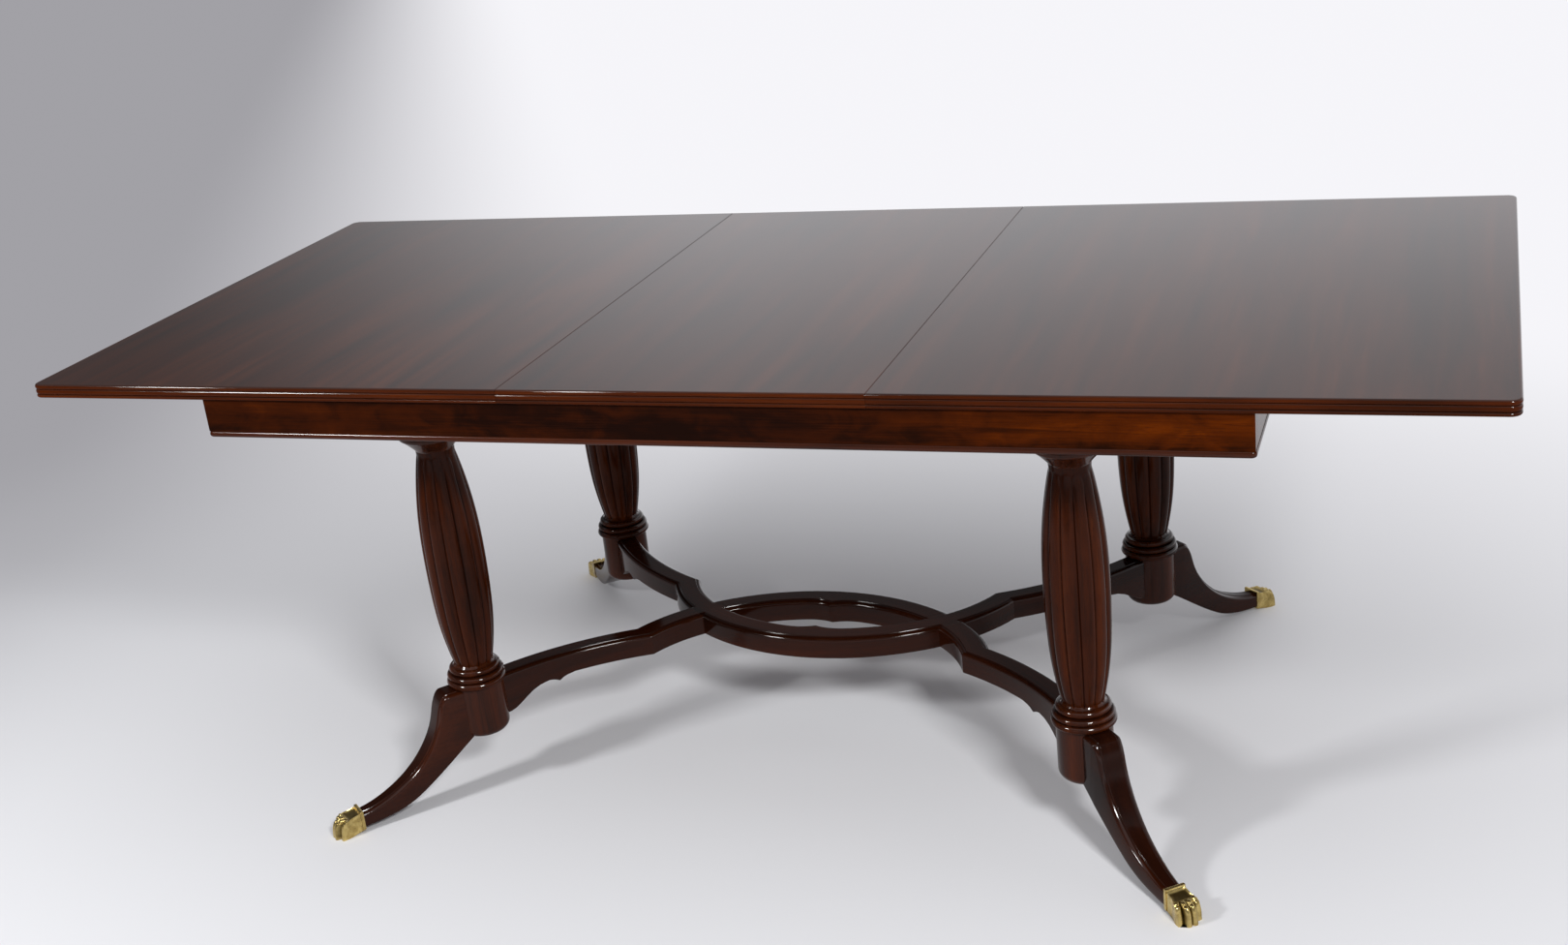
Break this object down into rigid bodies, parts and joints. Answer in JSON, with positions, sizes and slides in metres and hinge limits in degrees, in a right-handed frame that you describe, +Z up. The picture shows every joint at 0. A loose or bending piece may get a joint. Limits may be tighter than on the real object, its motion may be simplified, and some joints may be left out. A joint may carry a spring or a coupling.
{
  "type": "extending dining table",
  "caption": "Long mahogany dining table with a lift-out leaf, sliding top halves, reeded columns on sabre legs with brass paws, and crossed curved stretchers.",
  "frame": {"origin": "on the floor under the middle of the top", "axes": "+X along the table, +Y across it away from the pictured side, +Z up"},
  "size_m": [2.168, 1.0482, 0.76],
  "materials": {
    "top_wood": "dark mahogany, high gloss",
    "apron_wood": "mottled mahogany veneer, high gloss",
    "base_wood": "dark red mahogany, high gloss",
    "inner_wood": "plain waxed hardwood",
    "brass": "aged cast brass",
    "steel": "plain steel"
  },
  "bodies": {
    "frame": {"front_apron_rail": "apron_wood", "front_apron_bead": "base_wood", "back_apron_rail": "apron_wood", "back_apron_bead": "base_wood", "left_apron_rail": "apron_wood", "left_apron_bead": "base_wood", "right_apron_rail": "apron_wood", "right_apron_bead": "base_wood", "corner_blocks": "inner_wood", "left_cross_rail": "inner_wood", "left_centre_rail": "inner_wood", "left_bearer": "base_wood", "right_cross_rail": "inner_wood", "right_centre_rail": "inner_wood", "right_bearer": "base_wood", "bearer_screws": "steel", "front_left_cap": "base_wood", "front_left_column": "base_wood", "front_left_block": "base_wood", "front_left_leg": "base_wood", "front_left_paw": "brass", "front_right_cap": "base_wood", "front_right_column": "base_wood", "front_right_block": "base_wood", "front_right_leg": "base_wood", "front_right_paw": "brass", "back_left_cap": "base_wood", "back_left_column": "base_wood", "back_left_block": "base_wood", "back_left_leg": "base_wood", "back_left_paw": "brass", "back_right_cap": "base_wood", "back_right_column": "base_wood", "back_right_block": "base_wood", "back_right_leg": "base_wood", "back_right_paw": "brass", "leg_dowels": "inner_wood", "paw_screws": "steel", "front_stretcher": "base_wood", "back_stretcher": "base_wood", "stretcher_dowels": "inner_wood"},
    "left_top": {"left_top_panel": "top_wood", "left_front_loper": "inner_wood", "left_back_loper": "inner_wood", "left_loper_stops": "inner_wood", "left_loper_screws": "steel"},
    "right_top": {"right_top_panel": "top_wood", "right_front_loper": "inner_wood", "right_back_loper": "inner_wood", "right_loper_stops": "inner_wood", "right_loper_screws": "steel"},
    "leaf": {"centre_leaf": "top_wood"}
  },
  "joints": [
    {"name": "left_top_slide", "type": "slide", "parent": "frame", "child": "left_top", "axis": [-1, 0, 0], "range_m": [0, 0.04]},
    {"name": "right_top_slide", "type": "slide", "parent": "frame", "child": "right_top", "axis": [1, 0, 0], "range_m": [0, 0.04]},
    {"name": "leaf_lift", "type": "slide", "parent": "frame", "child": "leaf", "axis": [0, 0, 1], "range_m": [0, 0.25]}
  ]
}
